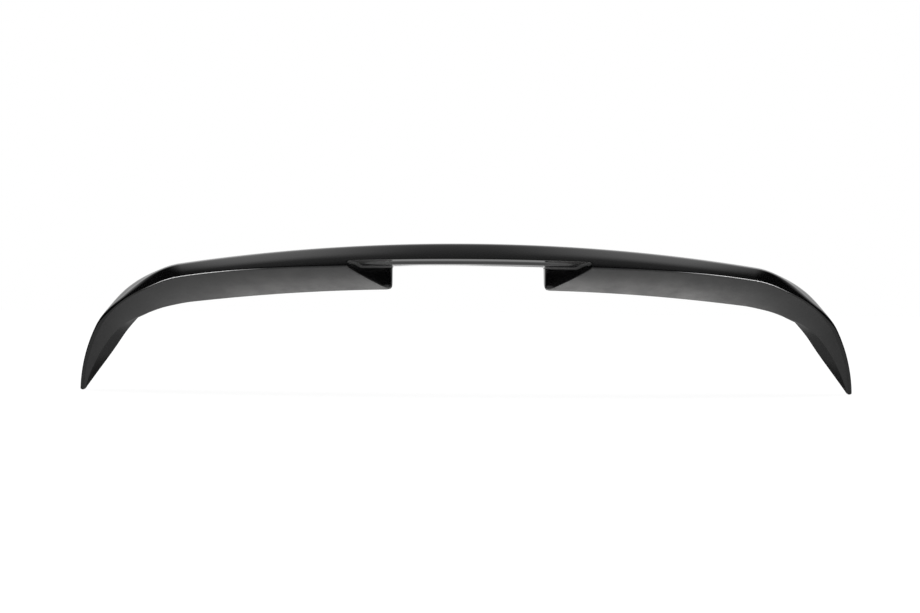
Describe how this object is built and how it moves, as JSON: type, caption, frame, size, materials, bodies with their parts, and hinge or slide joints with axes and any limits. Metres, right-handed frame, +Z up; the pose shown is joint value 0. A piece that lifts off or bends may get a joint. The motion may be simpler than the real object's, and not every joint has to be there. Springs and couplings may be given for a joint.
{
  "type": "roof spoiler",
  "caption": "Gloss black add-on roof spoiler: a long arched shell blade with a brake-lamp cut-out between two scoops, its ends curling down into pointed wings.",
  "frame": {"origin": "middle of the leading edge, on the inner face of the top skin that is bonded to the car", "axes": "+X across the car to the right seen from behind, +Y forward on the car, +Z up"},
  "size_m": [1.2, 0.1792, 0.2276],
  "materials": {
    "gloss_shell": "gloss"
  },
  "bodies": {
    "root": {"spoiler_body": "gloss_shell"}
  },
  "joints": []
}
